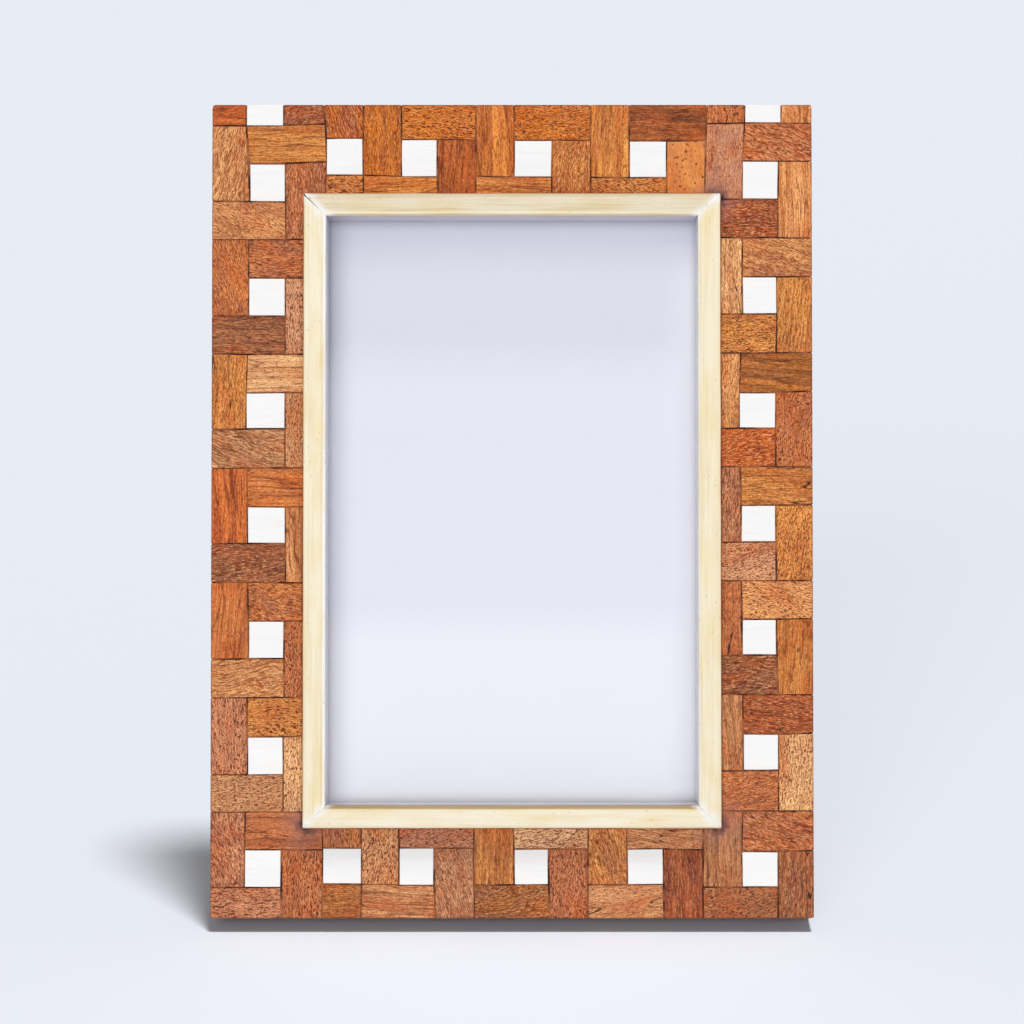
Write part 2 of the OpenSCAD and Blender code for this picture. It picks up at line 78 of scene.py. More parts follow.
halfWidth = panelSpan("wood_edging_right", "x")[1]
midHeight = panelSpan("wood_edging_top", "z")[1] / 2
fillerFront, tileDepth = panelSpan("tile_filler_left", "y")
sightX = panelSpan("brass_trim_right", "x")[0]
sightZ = panelSpan("brass_trim_top", "z")[0] - midHeight
trimWidth = panelSpan("brass_trim_right", "x")[1] - sightX
trimFront, glassPlane = panelSpan("brass_trim_top", "y")
trimX, trimZ = sightX + trimWidth, sightZ + trimWidth  # the trim's outer edges, from the window's middle


def camel(node):
    first, *others = node.split("_")
    return first + "".join(word.title() for word in others)


def newPiece(name, data, material=None):
    piece = bpy.data.objects.new(name, data)
    bpy.context.scene.collection.objects.link(piece)
    if material:
        data.materials.clear()
        data.materials.append(material)
    return piece


def baked(piece):
    # The piece with its modifiers applied
    evaluated = piece.evaluated_get(bpy.context.evaluated_depsgraph_get())
    mesh = bpy.data.meshes.new_from_object(evaluated)
    piece.modifiers.clear()
    piece.data = mesh
    return piece


def place(piece, slot, *nodes):
    # The piece stands for its CAD nodes on the body that carries them
    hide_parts(*nodes)
    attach(piece, nodeBody[nodes[0]])


def weldedShape(node):
    # A copy of a CAD node's mesh, with its loose triangles joined
    shape = bmesh.new()
    shape.from_mesh(frame["nodes"][node].data)
    bmesh.ops.remove_doubles(shape, verts=shape.verts, dist=weldDistance)
    return shape


def smooth(mesh, angle):
    mesh.shade_smooth()
    mesh.set_sharp_from_angle(angle=math.radians(angle))


def store(mesh, name, values):
    # An attribute of the mesh's points: numbers, vectors or colours
    parts = len(values[0]) if hasattr(values[0], "__len__") else 1
    kind, key = {1: ("FLOAT", "value"), 3: ("FLOAT_VECTOR", "vector"), 4: ("FLOAT_COLOR", "color")}[parts]
    flat = values if parts == 1 else [part for value in values for part in value]
    mesh.attributes.new(name, kind, "POINT").data.foreach_set(key, flat)


def paint(red, green, blue):
    # A colour given as it looks, 0 to 255, in the linear values that shaders take
    def linear(value):
        value /= 255
        return value / 12.92 if value <= 0.04045 else ((value + 0.055) / 1.055) ** 2.4
    return linear(red), linear(green), linear(blue), 1.0


class Nodes:
    # Short calls for building a node tree
    def __init__(self, tree):
        self.tree = tree
        tree.nodes.clear()

    def add(self, kind, sockets=None, **settings):
        node = self.tree.nodes.new(kind)
        for name, value in settings.items():
            setattr(node, name, value)
        for name, value in (sockets or {}).items():
            socket = node.inputs[name]
            if isinstance(name, str):  # sockets can share a name, and one of them is in use
                socket = next(s for s in node.inputs if s.name == name and s.enabled)
            for single in value if isinstance(value, list) else [value]:
                if isinstance(single, bpy.types.NodeSocket):
                    self.tree.links.new(single, socket)
                else:
                    socket.default_value = single
        return node

    def out(self, kind, sockets=None, **settings):
        return self.add(kind, sockets, **settings).outputs[0]

    def math(self, operation, first, second=0.0, third=0.0):
        return self.out("ShaderNodeMath", {0: first, 1: second, 2: third}, operation=operation)

    def times(self, first, second):
        return self.math("MULTIPLY", first, second)

    def vector(self, operation, first, second):
        return self.out("ShaderNodeVectorMath", {0: first, 1: second}, operation=operation)

    def scaled(self, vector, factor):
        return self.out("ShaderNodeVectorMath", {0: vector, 3: factor}, operation="SCALE")


class Finish(Nodes):
    # A material
    def __init__(self, name):
        self.material = bpy.data.materials.new(name)
        self.material.use_nodes = True
        super().__init__(self.material.node_tree)

    def ramp(self, value, low, high, start=0.0, end=1.0):
        return self.out("ShaderNodeMapRange", {0: value, 1: low, 2: high, 3: start, 4: end})

    def mix(self, factor, first, second, mode="MIX"):
        sockets = {0: factor, 6: first, 7: second}
        return self.add("ShaderNodeMix", sockets, data_type="RGBA", blend_type=mode).outputs[2]

    def dimmed(self, colour, *shade):
        return self.mix(1.0, colour, paint(*shade), "MULTIPLY")

    def noise(self, vector, stretch, detail=2.0, roughness=0.5, shift=(0, 0, 0)):
        stretch = stretch if isinstance(stretch, tuple) else (stretch,) * 3
        moved = self.out("ShaderNodeMapping", {"Vector": vector, "Location": shift, "Scale": stretch})
        sockets = {"Vector": moved, "Scale": 1.0, "Detail": detail, "Roughness": roughness}
        return self.out("ShaderNodeTexNoise", sockets)

    def ridge(self, vector, stretch, roughness, shift):
        # Nought along thin, wandering lines
        level = self.noise(vector, stretch, 1, roughness, shift)
        return self.math("ABSOLUTE", self.math("SUBTRACT", level, 0.5))

    def attribute(self, name, part="Vector"):
        return self.add("ShaderNodeAttribute", attribute_name=name).outputs[part]

    def panelPoint(self):
        # Object coordinates turned upright with the panel, in millimetres
        point = self.add("ShaderNodeTexCoord").outputs["Object"]
        return self.out("ShaderNodeMapping", {
            "Vector": point, "Rotation": (lean, 0, 0), "Scale": (inMm,) * 3,
            "Location": toPanel.translation * inMm})

    def apart(self, vector):
        return self.add("ShaderNodeSeparateXYZ", {0: vector}).outputs

    def stops(self, value, stops):
        # Colours at places from 0 to 1
        node = self.add("ShaderNodeValToRGB", {"Fac": value})
        elements = node.color_ramp.elements
        while len(elements) < len(stops):
            elements.new(1.0)
        for element, (at, *colour) in zip(elements, stops):
            element.position = at
            element.color = paint(*colour)
        return node.outputs["Color"]

    def bump(self, height, distance, strength):
        return self.out("ShaderNodeBump", {"Height": height, "Distance": distance, "Strength": strength})

    def finish(self, colour, roughness, normal=None, specular=0.5, metallic=0.0, sheen=0.0):
        sockets = {"Base Color": colour, "Roughness": roughness, "Specular IOR Level": specular,
                   "Metallic": metallic, "Sheen Weight": sheen}
        if normal:
            sockets["Normal"] = normal
        self.add("ShaderNodeOutputMaterial", {"Surface": self.out("ShaderNodeBsdfPrincipled", sockets)})
        return self.material


class Tree(Nodes):
    # A Geometry Nodes tree, whose inputs are numbers and a material
    def __init__(self, name, *numbers):
        super().__init__(bpy.data.node_groups.new(name, "GeometryNodeTree"))
        face = self.tree.interface
        face.new_socket("Geometry", in_out="INPUT", socket_type="NodeSocketGeometry")
        face.new_socket("Geometry", in_out="OUTPUT", socket_type="NodeSocketGeometry")
        for number in numbers:
            face.new_socket(number, in_out="INPUT", socket_type="NodeSocketFloat")
        face.new_socket("Material", in_out="INPUT", socket_type="NodeSocketMaterial")
        self.given = self.add("NodeGroupInput").outputs

    def named(self, name, kind="FLOAT_VECTOR"):
        return self.out("GeometryNodeInputNamedAttribute", {"Name": name}, data_type=kind)

    def position(self):
        return self.out("GeometryNodeInputPosition")

    def finish(self, geometry):
        real = self.out("GeometryNodeRealizeInstances", {"Geometry": geometry})
        sockets = {"Geometry": real, "Material": self.given["Material"]}
        self.add("NodeGroupOutput", {"Geometry": self.out("GeometryNodeSetMaterial", sockets)})
        return self.tree


def runTree(piece, tree, values):
    modifier = piece.modifiers.new(tree.name, "NODES")
    modifier.node_group = tree
    for socket in tree.interface.items_tree:
        if socket.in_out == "INPUT" and socket.name in values:
            modifier[socket.identifier] = values[socket.name]
    baked(piece)


# Parquet tiles. Each word is a tile's wood and figure. Blocks run down from the head on the upright
# strips and to the right on the others, and name their left, upper, right and lower tile.

woodTones = {  # ground colour, grain colour
    "l": ((242, 176, 118), (196, 118, 70)),
    "t": ((230, 152, 92), (176, 96, 50)),
    "g": ((222, 136, 66), (166, 86, 34)),
    "o": ((216, 122, 62), (156, 74, 34)),
    "p": ((222, 150, 106), (168, 96, 64)),
    "b": ((206, 136, 88), (148, 84, 50)),
    "r": ((202, 112, 64), (142, 68, 38)),
    "v": ((214, 108, 48), (158, 64, 24)),
    "s": ((202, 124, 84), (146, 78, 52)),
    "a": ((188, 106, 46), (124, 62, 26)),
    "d": ((168, 96, 58), (108, 52, 32)),
    "e": ((182, 90, 46), (116, 48, 26)),
    "-": ((240, 238, 235), (235, 229, 219)),  # the white squares
}
woodFigures = {  # stripes, pores (over 1: holes), waves; cracks, mottle, dust; the grain's slant in degrees
    "s": ((0.9, 0.6, 0.3), (0.0, 0.3, 0.0), 6),
    "w": ((0.6, 0.65, 1.0), (0.0, 0.4, 0.0), 26),
    "p": ((0.3, 1.0, 0.5), (0.0, 0.4, 0.0), 16),
    "m": ((0.45, 0.8, 0.8), (0.0, 1.0, 0.0), 22),
    "c": ((0.6, 0.7, 0.5), (1.0, 0.4, 0.0), 10),
    "f": ((0.25, 0.8, 0.4), (0.0, 0.6, 1.0), 12),
    "h": ((0.1, 1.9, 0.3), (0.0, 0.5, 0.0), 20),
    "-": ((1, 0, 0), (0, 0, 0), 6),
}
stripWoods = {  # a head tile's last mark is the run of its grain
    "left": ("vs- em-", "tw gs rm tm", "om rm pp dc", "gc ls bp bw", "vs os ts dw", "os om rp tw",
             "sp gp lp bp", "sm rs rp sp"),
    "right": ("rp| ts|", "sf rw ts ew", "lc tm gc gp", "tm as rp vw", "sm gc gp pp", "rc tp gs dw",
              "bs ew lp rm", "bs rm dc dp"),
    "top": ("pp- om|", "gc gp rs ls", "ts gp pw ps", "ls ds ph pp"),
    "bottom": ("ac- om|", "tp sp bm ts", "gs lp rp am", "gm tc es tc"),
}
stripTints = {"left": (1.1, 1.19, 1.25), "right": (1.11, 1.19, 1.22), "top": (1.07, 1.01, 0.74),
              "bottom": (1.05, 1.14, 1.27)}
tileSlots = {"honey_tiles": "honey_wood", "russet_tiles": "russet_wood", "umber_tiles": "umber_wood",
             "white_squares": "white_resin"}
handLaid = {  # how far each white square's edges lie off the even grid, in 0.1 mm: left, right, upper, lower
    "left": ((-5, -5, 0, 0), (5, -2, 0, 0), (2, -2, -2, -2), (-5, 0, -5, 2), (0, 0, -5, 0), (5, -2, -5, -2),
             (2, -5, -7, -7), (-5, -10, -2, 0)),
    "right": ((7, 10, 0, 2), (0, 2, 0, 0), (0, -2, -5, -2), (-10, -5, -10, -2), (-5, -7, -7, -2),
              (-2, -5, -7, 2), (0, 0, -7, 0), (-5, -2, -15, -5)),
    "top": ((7, 0, 5, 5), (2, -5, 2, 0), (-2, -2, 0, 0), (2, 0, -2, -2)),
    "bottom": ((0, 0, -2, 0), (-2, -12, -2, -5), (0, -12, -5, -2), (-5, -12, -5, -2)),
}
tileWork = {
    "chamfer": 0.08 * mm, "outlineStep": 2.4 * mm, "seed": 11,
    "wander": 0.4 * mm, "wanderSize": 60.0, "shift": 0.04 * mm, "turn": 0.3,
    "lift": (0.97, 1.03),  # how much darker or lighter than its kind a tile can be
    "edgeReach": 0.9 * mm,  # outline points this near the frame's edges or the trim stay there
    "headMargin": 1 * mm, "blockTurn": math.degrees(math.atan(0.5)),
}


def frontOutlines(node):
    # The outline of each solid of a CAD node on the face of the panel
    shape = weldedShape(node)
    shape.transform(toPanel)
    shape.normal_update()
    facing = [f for f in shape.faces if f.normal.y < -0.99 and f.calc_center_median().y < tileDepth / 4]
    front = set(facing)
    following = {}
    for face in facing:
        for loop in face.loops:
            if not any(other in front for other in loop.edge.link_faces if other is not face):
                following[loop.vert] = loop.link_loop_next.vert
    outlines = []
    while following:
        vert = next(iter(following))
        outline = []
        while vert in following:
            outline.append(vert.co.copy())
            vert = following.pop(vert)
        outlines.append(outline)
    shape.free()
    return outlines


def refined(outline, step):
    # The same outline with points along its longer edges
    points = []
    for start, end in zip(outline, outline[1:] + outline[:1]):
        parts = max(1, round((end - start).length / step))
        points += [start.lerp(end, i / parts) for i in range(parts)]
    return points


class Tile:
    def __init__(self, side, outline):
        self.side = side
        self.outline = refined(outline, tileWork["outlineStep"])
        self.low, self.high = (Vector([end(p[i] for p in outline) for i in range(3)]) for end in (min, max))
        self.centre = (self.low + self.high) / 2
        self.size = self.high - self.low


def chooseWoods(side, tiles, whites):
    # Gives each tile of a strip its word, from where it lies round the nearest white square
    head, centres = whites[0], [white.centre for white in whites[1:]]
    margin = tileWork["headMargin"]
    for tile in tiles:
        if side in uprights:
            inHead, first = tile.low.z > head.low.z - margin, tile.centre.x < head.centre.x
        else:
            inHead, first = tile.high.x < head.high.x + margin, tile.centre.z < head.centre.z
        if inHead:
            tile.word = stripWoods[side][0].split()[0 if first else 1]
            tile.grainAngle = 90 if tile.word.endswith("|") else 0
            continue
        block = min(range(len(centres)), key=lambda i: (centres[i] - tile.centre).length)
        offset = tile.centre - centres[block]
        turn = math.degrees(math.atan2(offset.z, offset.x)) + tileWork["blockTurn"]
        quarter = round(turn / 90) % 4  # 0 right, 1 above, 2 left, 3 below
        tile.word = stripWoods[side][block + 1].split()[(2, 1, 0, 3)[quarter]]
        tile.grainAngle = 0 if quarter % 2 else 90


laidAcross, laidUp = [], []  # (place, distance moved) of the white squares' upright and level edges
pullSoftness = 3 * mm ** 2  # keeps an edge's pull finite at the edge itself


def markLaid(side, whites):
    for white, moved in zip(whites, handLaid[side]):
        left, right, upper, lower = (part * 0.1 * mm for part in moved)
        x, z = white.centre.x, white.centre.z
        laidAcross.extend([(Vector((white.low.x, 0, z)), left), (Vector((white.high.x, 0, z)), right)])
        laidUp.extend([(Vector((x, 0, white.high.z)), upper), (Vector((x, 0, white.low.z)), lower)])


def laidOffset(x, z):
    # Tiles move with the edges of the white squares near them
    flat = Vector((x, 0, z))
    offset = Vector((0, 0, 0))
    for axis, marks in ((0, laidAcross), (2, laidUp)):
        pulls = [((flat - place).length_squared + pullSoftness) ** -1.5 for place, _ in marks]
        offset[axis] = sum(pull * moved for pull, (_, moved) in zip(pulls, marks)) / sum(pulls)
    return offset


def laidOutline(tile):
    # The outline after the tile's corners have moved, its edges still straight
    lowX, highX, lowZ, highZ = tile.low.x, tile.high.x, tile.low.z, tile.high.z
    corners = [[laidOffset(x, z) for x in (lowX, highX)] for z in (lowZ, highZ)]
    points = []
    for point in tile.outline:
        across, up = (point.x - lowX) / tile.size.x, (point.z - lowZ) / tile.size.z
        below, above = (left.lerp(right, across) for left, right in corners)
        points.append(point + below.lerp(above, up))
    return points


def layTile(tile, chance):
    # Where the tile lies, and what its tree and its finish need to know
    wood, run = tile.word[:2]
    figure, flaw, slant = woodFigures[run]
    lift = chance.uniform(*tileWork["lift"])
    tint = [1, 1, 1] if wood == "-" else [lift * part for part in stripTints[tile.side]]
    ground, grain = (paint(*(part * change for part, change in zip(tone, tint))) for tone in woodTones[wood])
    shift = Vector((chance.uniform(-1, 1), 0, chance.uniform(-1, 1))) * tileWork["shift"]
    turn = Matrix.Rotation(math.radians(chance.uniform(-1, 1) * tileWork["turn"]), 4, "Y")
    tile.laid = [turn @ (point - tile.centre) + tile.centre + shift for point in laidOutline(tile)]
    tile.facts = {
        "tileCentre": tile.centre, "tileSize": tile.size,
        "grainStart": [chance.uniform(-500, 500) for _ in range(3)],
        "grainTurn": math.radians(tile.grainAngle + chance.uniform(-slant, slant)),
        "ground": ground, "grain": grain, "figure": figure, "flaw": flaw}


def flatTiles(name, tiles, chance):
    # One flat face for each tile. Points at the frame's edges and beside the trim stay in line.
    for tile in tiles:
        layTile(tile, chance)
    points, faces, facts = [], [], {}
    edgeReach = tileWork["edgeReach"]
    for tile in tiles:
        faces.append(range(len(points), len(points) + len(tile.outline)))
        for point, laid in zip(tile.outline, tile.laid):
            across, up = abs(point.x), abs(point.z - midHeight)
            onSide = halfWidth - across < edgeReach or abs(across - trimX) < edgeReach and up < trimZ
            onEnd = midHeight - up < edgeReach or abs(up - trimZ) < edgeReach and across < trimX
            points.append((point.x if onSide else laid.x, tileDepth, point.z if onEnd else laid.z))
            loose = (0 if onSide else 1, 0, 0 if onEnd else 1)
            for fact, value in {**tile.facts, "loose": loose}.items():
                facts.setdefault(fact, []).append(value)
    mesh = bpy.data.meshes.new(name)
    mesh.from_pydata(points, [], faces)
    for fact, values in facts.items():
        store(mesh, fact, values)
    return newPiece(name, mesh)


def tileTree():
    # Flat tiles are nudged at their corners, raised to the face and chamfered, one by one
    tree = Tree("layTiles", "Thickness", "Chamfer", "Wander", "Wander Size", "Seed")
    given = tree.given
    drift = tree.add("ShaderNodeTexNoise", {
        "W": given["Seed"], "Scale": given["Wander Size"], "Detail": 1.0}, noise_dimensions="4D").outputs[1]
    wander = tree.scaled(tree.vector("SUBTRACT", drift, (0.5, 0.5, 0.5)), given["Wander"])
    nudge = tree.vector("MULTIPLY", wander, tree.named("loose"))
    laid = tree.out("GeometryNodeSetPosition", {"Geometry": given["Geometry"], "Offset": nudge})

    towardsFace = (0, -1, 0)
    body = tree.math("SUBTRACT", given["Thickness"], given["Chamfer"])
    raised = tree.add("GeometryNodeExtrudeMesh", {
        "Mesh": laid, "Offset": towardsFace, "Offset Scale": body, "Individual": True}, mode="FACES").outputs
    crown = tree.add("GeometryNodeExtrudeMesh", {
        "Mesh": raised["Mesh"], "Selection": raised["Top"], "Offset": towardsFace,
        "Offset Scale": given["Chamfer"], "Individual": True}, mode="FACES").outputs
    inward = tree.vector("SUBTRACT", tree.named("tileCentre"), tree.position())
    share = tree.vector("DIVIDE", inward, tree.named("tileSize"))
    shrink = tree.scaled(tree.vector("MULTIPLY", share, (2, 0, 2)), given["Chamfer"])
    chamfered = tree.out("GeometryNodeSetPosition", {
        "Geometry": crown["Mesh"], "Selection": crown["Top"], "Offset": shrink})
    base = tree.out("GeometryNodeFlipFaces", {"Mesh": laid})
    closed = tree.out("GeometryNodeJoinGeometry", {"Geometry": [base, chamfered]})
    merged = tree.out("GeometryNodeMergeByDistance", {"Geometry": closed, "Distance": weldDistance})

    fromCentre = tree.vector("SUBTRACT", tree.position(), tree.named("tileCentre"))
    turned = tree.out("ShaderNodeVectorRotate", {
        "Vector": fromCentre, "Angle": tree.named("grainTurn", "FLOAT")}, rotation_type="Y_AXIS")
    measured = tree.vector("MULTIPLY", turned, (inMm,) * 3)
    along = tree.vector("ADD", measured, tree.named("grainStart"))
    return tree.finish(tree.out("GeometryNodeStoreNamedAttribute", {
        "Geometry": merged, "Name": "grainPoint", "Value": along}, data_type="FLOAT_VECTOR", domain="POINT"))


def tileWoodFinish():
    # grainPoint runs along the grain in x and across it in z, in millimetres
    wood = Finish("tileWood")
    point = wood.attribute("grainPoint")
    ground, grain = wood.attribute("ground", "Color"), wood.attribute("grain", "Color")
    striped, porous, wavy = wood.apart(wood.attribute("figure"))
    cracking, mottling, dusting = wood.apart(wood.attribute("flaw"))

    wander = wood.math("SUBTRACT", wood.noise(point, (0.08, 0.15, 0.14), 1), 0.5)
    sway = wood.times(wander, wood.times(wavy, 5.0))
    bent = wood.vector("ADD", point, wood.out("ShaderNodeCombineXYZ", {2: sway}))
    stripes = wood.ramp(wood.noise(bent, (0.03, 0.4, 0.75), 3, 0.6), 0.38, 0.62)
    colour = wood.mix(wood.times(stripes, striped), ground, grain)
    glow = wood.ramp(wood.noise(bent, (0.1, 0.12, 0.2), 2, shift=(17, 13, 11)), 0.48, 0.7, 0.0, 0.5)
    warm = wood.mix(glow, colour, paint(214, 98, 34))
    mottle = wood.ramp(wood.noise(bent, (0.12, 0.2, 0.3), 2, shift=(7, 3, 1)), 0.42, 0.7)
    rosy = wood.mix(wood.times(mottle, wood.times(mottling, 0.8)), warm,
                    wood.mix(0.5, grain, paint(186, 116, 92)))

    strokes = wood.ramp(wavy, 0.3, 1.0, 0.42, 1.0)
    fibre = wood.noise(bent, (0.5, 2.6, 4.2), 2, 0.6)
    dark = wood.dimmed(rosy, 172, 138, 118)
    fibred = wood.mix(wood.times(wood.ramp(fibre, 0.42, 0.62), strokes), rosy, dark)
    flecks = wood.ramp(wood.noise(bent, (0.75, 2.6, 4.4), 1, 0.5, (31, 17, 5)), 0.54, 0.63)
    flecked = wood.mix(wood.times(flecks, strokes), fibred, wood.mix(0.32, rosy, paint(255, 208, 152)))

    deep = wood.dimmed(grain, 124, 84, 74)
    lines = wood.ramp(wood.ridge(bent, (0.05, 0.5, 0.8), 0.5, (2, 5, 9)), 0.008, 0.03, 0.7, 0.0)
    lined = wood.mix(wood.times(lines, striped), flecked, deep)
    dashes = wood.ramp(wood.noise(bent, (1.0, 2.8, 4.2), 0, 0.5, (3, 41, 23)), 0.61, 0.67)
    specks = wood.ramp(wood.noise(bent, (2.0, 3.0, 5.2), 0, 0.5, (13, 4, 37)), 0.58, 0.65, 0.0, 0.85)
    fine = wood.times(wood.math("MAXIMUM", dashes, specks), wood.math("PINGPONG", porous, 1.0))
    pits = wood.ramp(wood.noise(point, (1.1, 1.3, 1.3), 0, 0.5, (5, 23, 3)), 0.68, 0.73)
    pores = wood.math("MAXIMUM", fine, wood.times(pits, wood.ramp(porous, 1.0, 2.0)))
    pored = wood.mix(wood.times(pores, 0.9), lined, deep)

    veins = wood.ramp(wood.ridge(bent, (0.025, 0.3, 0.33), 0.4, (9, 9, 2)), 0.004, 0.012, 1.0, 0.0)
    broken = wood.ramp(wood.noise(bent, (0.2, 0.5, 0.6), 1, shift=(1, 2, 3)), 0.42, 0.5)
    cracks = wood.times(veins, broken)
    cracked = wood.mix(wood.times(cracks, cracking), pored, paint(52, 26, 18))
    haze = wood.ramp(wood.noise(point, (0.12, 0.2, 0.16), 3, shift=(4, 4, 4)), 0.4, 0.7)
    dusty = wood.mix(wood.times(haze, wood.times(dusting, 0.45)), cracked, paint(200, 152, 128))

    height = wood.math("SUBTRACT", wood.times(fibre, 0.25), wood.math("MAXIMUM", pores, cracks))
    rough = wood.ramp(fibre, 0.3, 0.7, 0.45, 0.6)
    return wood.finish(edgeStainAndShadow(wood, dusty), rough, wood.bump(height, 0.00005, 0.5), 0.3)


def edgeStainAndShadow(wood, colour):
    # A dusty haze and dark smudges round three of the trim's corners, a painted shadow beside the trim's
    # right and lower outer edges, and a darker outer arris
    point = wood.panelPoint()
    x, _, z = wood.apart(point)
    up = wood.math("SUBTRACT", z, midHeight * inMm)
    across, upward = wood.math("ABSOLUTE", x), wood.math("ABSOLUTE", up)
    cleanCorner = wood.times(wood.math("LESS_THAN", x, 0), wood.math("GREATER_THAN", up, 0))
    strength = wood.ramp(cleanCorner, 0, 1, 1.0, 0.15)
    fromX, fromZ = (wood.math("SUBTRACT", value, (edge - 1 * mm) * inMm)
                    for value, edge in ((across, trimX), (upward, trimZ)))  # from 1 mm inside the trim's edge
    offset = wood.out("ShaderNodeCombineXYZ", {0: fromX, 1: fromZ})
    away = wood.add("ShaderNodeVectorMath", {0: offset}, operation="LENGTH").outputs["Value"]
    drifting = wood.times(wood.noise(point, 0.22, 3, shift=(3, 8, 5)), 9.0)
    haze = wood.ramp(wood.math("ADD", away, drifting), 6.0, 12.5, 0.62, 0.0)
    hazed = wood.mix(wood.times(haze, strength), colour, paint(154, 106, 96))
    patchy = wood.times(wood.noise(point, 0.5, 2, shift=(6, 2, 7)), 5.0)
    smudge = wood.ramp(wood.math("ADD", away, patchy), 3.4, 5.8, 0.95, 0.0)
    smudged = wood.mix(wood.times(smudge, strength), hazed, paint(54, 36, 44))

    # Painted shadow: a dark line beside the trim's right and lower outer edges
    shaded = wood.math("MAXIMUM", wood.math("GREATER_THAN", x, 0), wood.math("LESS_THAN", up, 0))
    patches = wood.ramp(wood.noise(point, 0.16, 2, shift=(1, 7, 2)), 0.4, 0.6, 0.2, 0.75)
    beside = wood.ramp(wood.math("MAXIMUM", fromX, fromZ), 1.1, 1.6, 1.0, 0.0)
    trimEdgeShadowed = wood.mix(wood.times(beside, wood.times(shaded, patches)), smudged, paint(58, 36, 32))
    toSide = wood.math("SUBTRACT", halfWidth * inMm, across)
    toEnd = wood.math("SUBTRACT", midHeight * inMm, upward)
    arris = wood.ramp(wood.math("MINIMUM", toSide, toEnd), 0.1, 0.4, 0.45, 0.0)
    return wood.mix(arris, trimEdgeShadowed, paint(70, 44, 38))


def whiteFinish():
    white = Finish("ivoryResin")
    point = white.attribute("grainPoint")
    strands = white.ramp(white.noise(point, (0.06, 1.2, 1.4), 3, 0.6), 0.5, 0.75, 0.0, 0.8)
    colour = white.mix(strands, white.attribute("ground", "Color"), white.attribute("grain", "Color"))
    cloud = white.ramp(white.noise(point, (0.16, 0.2, 0.2), 2), 0.35, 0.75, 0.0, 0.5)
    clouded = white.mix(cloud, colour, paint(233, 231, 232))
    rough = white.ramp(strands, 0, 1, 0.28, 0.4)
    return white.finish(clouded, rough, white.bump(strands, 0.00001, 0.5), 0.4)


chance = random.Random(tileWork["seed"])
woodMaterial, whiteMaterial, tree = tileWoodFinish(), whiteFinish(), tileTree()
tileSets = {kind: [] for kind in tileSlots}
for side in sides:
    found = {kind: [Tile(side, outline) for outline in frontOutlines(f"{kind}_{side}")] for kind in tileSets}
    whites = found["white_squares"]
    for white in whites:
        white.word, white.grainAngle = "--", 0
    fromHead = sorted(whites, key=lambda white: -white.centre.z if side in uprights else white.centre.x)
    chooseWoods(side, [tile for tiles in found.values() for tile in tiles if tile not in whites], fromHead)
    markLaid(side, fromHead)
    for kind, tiles in found.items():
        tileSets[kind] += tiles
for kind, tiles in tileSets.items():
    piece = flatTiles(camel(kind), tiles, chance)
    runTree(piece, tree, {
        "Thickness": tileDepth, "Chamfer": tileWork["chamfer"], "Wander": tileWork["wander"],
        "Wander Size": tileWork["wanderSize"], "Seed": float(tileWork["seed"]),
        "Material": whiteMaterial if kind == "white_squares" else woodMaterial})
    piece.data.transform(toWorld)
    place(piece, tileSlots[kind], *(f"{kind}_{side}" for side in sides))
print("parquet laid:", {kind: len(tiles) for kind, tiles in tileSets.items()})


# Metal trim, four lengths of folded sheet with mitred ends

trim = {
    "sheet": 0.6 * mm, "fold": 0.62 * mm, "mitreGap": 0.14 * mm,
    "foldSteps": 9, "faceSteps": 6, "legSteps": 5, "stations": 72,
    "ripple": 0.05 * mm, "legRipple": 0.4, "rippleScales": (90, 7.3, 200), "solderRun": 3.5 * mm,
    "openMitre": 0.6 * mm, "openFrom": 0.25,  # past this share of its width the left length is short
    "dents": {"bottom": ((-4.2 * mm, 2.2 * mm, 0.14 * mm),)},  # place, length, depth
}
# The colours across each length hold painted highlights and painted shade along the folds, and each length is
# painted lighter or darker as it faces the light
trimToneAndPaintedLight = {  # place across the face from the sight edge, and the colour there
    "left": (
        (0.0, 226, 220, 210), (0.04, 255, 254, 250), (0.12, 255, 251, 240), (0.18, 247, 232, 196),
        (0.27, 254, 241, 208), (0.84, 252, 239, 206), (0.92, 250, 235, 198), (0.97, 240, 220, 180),
        (1.0, 204, 180, 138)),
    "right": (
        (0.0, 240, 230, 208), (0.05, 255, 248, 226), (0.11, 242, 230, 196), (0.2, 252, 238, 204),
        (0.84, 252, 238, 204), (0.9, 246, 230, 192), (0.95, 253, 240, 208), (0.98, 226, 204, 164),
        (1.0, 200, 172, 130)),
    "top": (
        (0.0, 232, 220, 204), (0.06, 226, 208, 178), (0.1, 240, 222, 188), (0.15, 255, 243, 212),
        (0.22, 238, 224, 192), (0.8, 238, 224, 194), (0.92, 230, 210, 174), (1.0, 206, 176, 132)),
    "bottom": (
        (0.0, 206, 190, 172), (0.04, 178, 154, 120), (0.07, 206, 178, 134), (0.11, 176, 148, 98),
        (0.14, 196, 170, 120), (0.18, 240, 222, 180), (0.23, 254, 241, 212), (0.85, 253, 242, 214),
        (0.93, 250, 238, 206), (0.97, 250, 238, 206), (1.0, 204, 172, 126)),
}


def foldArc(centre, radius, start, end):
    steps = trim["foldSteps"]
    angles = [math.radians(start + (end - start) * i / steps) for i in range(steps + 1)]
    return [(centre[0] + radius * math.cos(a), centre[1] + radius * math.sin(a)) for a in angles]


